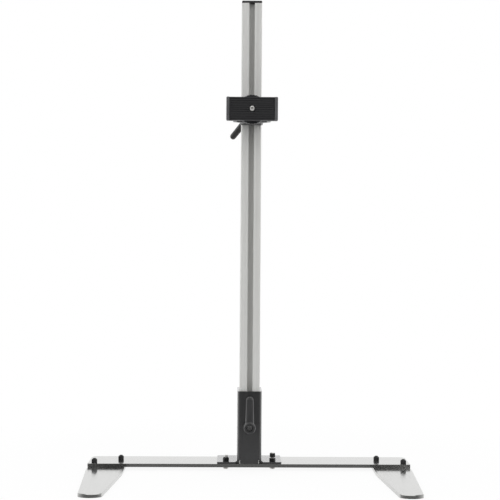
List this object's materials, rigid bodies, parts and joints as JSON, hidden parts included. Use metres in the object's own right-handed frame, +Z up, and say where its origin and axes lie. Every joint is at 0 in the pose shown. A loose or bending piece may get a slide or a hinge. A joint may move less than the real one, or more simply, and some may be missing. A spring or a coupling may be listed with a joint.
{
  "type": "copy stand",
  "caption": "Copy stand: flat base on feet, slotted upright column in a clamped bracket, and a sliding carriage with a padded camera plate and screw.",
  "frame": {"origin": "middle of the table area that the whole stand covers, at table height", "axes": "+X to the right seen from the front, +Y to the back, +Z up along the column; the camera plate faces -Y"},
  "size_m": [0.48, 0.2904, 0.7],
  "materials": {
    "satin_plate": "fine brushed, satin",
    "anodised_profile": "natural anodised, satin, drawn lengthwise",
    "black_sheet": "black powder coat, satin",
    "black_cast": "black powder coat, fine texture",
    "black_anodised": "black anodised, satin",
    "black_plastic": "black, satin",
    "black_steel": "black oxide, oiled",
    "bright_steel": "zinc plated, bright",
    "pad_rubber": "matt, ribbed"
  },
  "bodies": {
    "base": {"crossbar": "satin_plate", "left_foot": "satin_plate", "right_foot": "satin_plate", "left_foot_outer_bolt": "black_steel", "left_foot_inner_bolt": "black_steel", "right_foot_outer_bolt": "black_steel", "right_foot_inner_bolt": "black_steel", "left_foot_outer_nut": "black_steel", "left_foot_inner_nut": "black_steel", "right_foot_outer_nut": "black_steel", "right_foot_inner_nut": "black_steel", "column_bracket": "black_sheet", "left_bracket_bolt": "bright_steel", "right_bracket_bolt": "bright_steel", "left_bracket_washer": "bright_steel", "right_bracket_washer": "bright_steel", "left_bracket_nut": "black_steel", "right_bracket_nut": "black_steel", "right_bracket_second_nut": "black_steel", "base_slot_nut": "bright_steel"},
    "column": {"column": "anodised_profile", "column_top_cap": "black_plastic"},
    "base_lever": {"base_lever_insert": "bright_steel", "base_lever_screw": "black_steel", "base_lever_spring": "bright_steel"},
    "base_lever_handle": {"base_lever_handle": "black_cast"},
    "carriage": {"carriage_body": "black_anodised", "left_glide_liner": "black_plastic", "right_glide_liner": "black_plastic", "front_glide_liner": "black_plastic", "clamp_shoe": "bright_steel", "camera_platform": "black_anodised", "platform_pad": "pad_rubber", "left_platform_screw": "black_steel", "right_platform_screw": "black_steel"},
    "carriage_lever": {"carriage_lever_insert": "bright_steel", "carriage_lever_screw": "black_steel", "carriage_lever_spring": "bright_steel"},
    "carriage_lever_handle": {"carriage_lever_handle": "black_cast"},
    "thumb_wheel": {"thumb_wheel": "black_anodised", "camera_screw": "bright_steel"}
  },
  "joints": [
    {"name": "column_slide", "type": "slide", "parent": "base", "child": "column", "axis": [0, 0, 1], "range_m": [0, 0.045]},
    {"name": "base_lever_turn", "type": "hinge", "parent": "base", "child": "base_lever", "pos_m": [0, 0.04048, 0.067], "axis": [0, -1, 0], "range_deg": [0, 180]},
    {"name": "base_lever_lift", "type": "slide", "parent": "base_lever", "child": "base_lever_handle", "axis": [0, -1, 0], "range_m": [0, 0.0043], "stiffness_N_per_m": 1500, "springref_m": -0.002, "deforming": ["base_lever_spring"]},
    {"name": "carriage_slide", "type": "slide", "parent": "column", "child": "carriage", "axis": [0, 0, 1], "range_m": [-0.39, 0.14]},
    {"name": "carriage_lever_turn", "type": "hinge", "parent": "carriage", "child": "carriage_lever", "pos_m": [0, 0.12018, 0.5405], "axis": [0, 1, 0], "range_deg": [0, 180]},
    {"name": "carriage_lever_lift", "type": "slide", "parent": "carriage_lever", "child": "carriage_lever_handle", "axis": [0, 1, 0], "range_m": [0, 0.0043], "stiffness_N_per_m": 1500, "springref_m": -0.002, "deforming": ["carriage_lever_spring"]},
    {"name": "wheel_turn", "type": "hinge", "parent": "carriage", "child": "thumb_wheel", "pos_m": [0, 0, 0.531], "axis": [0, -1, 0], "continuous": true}
  ]
}
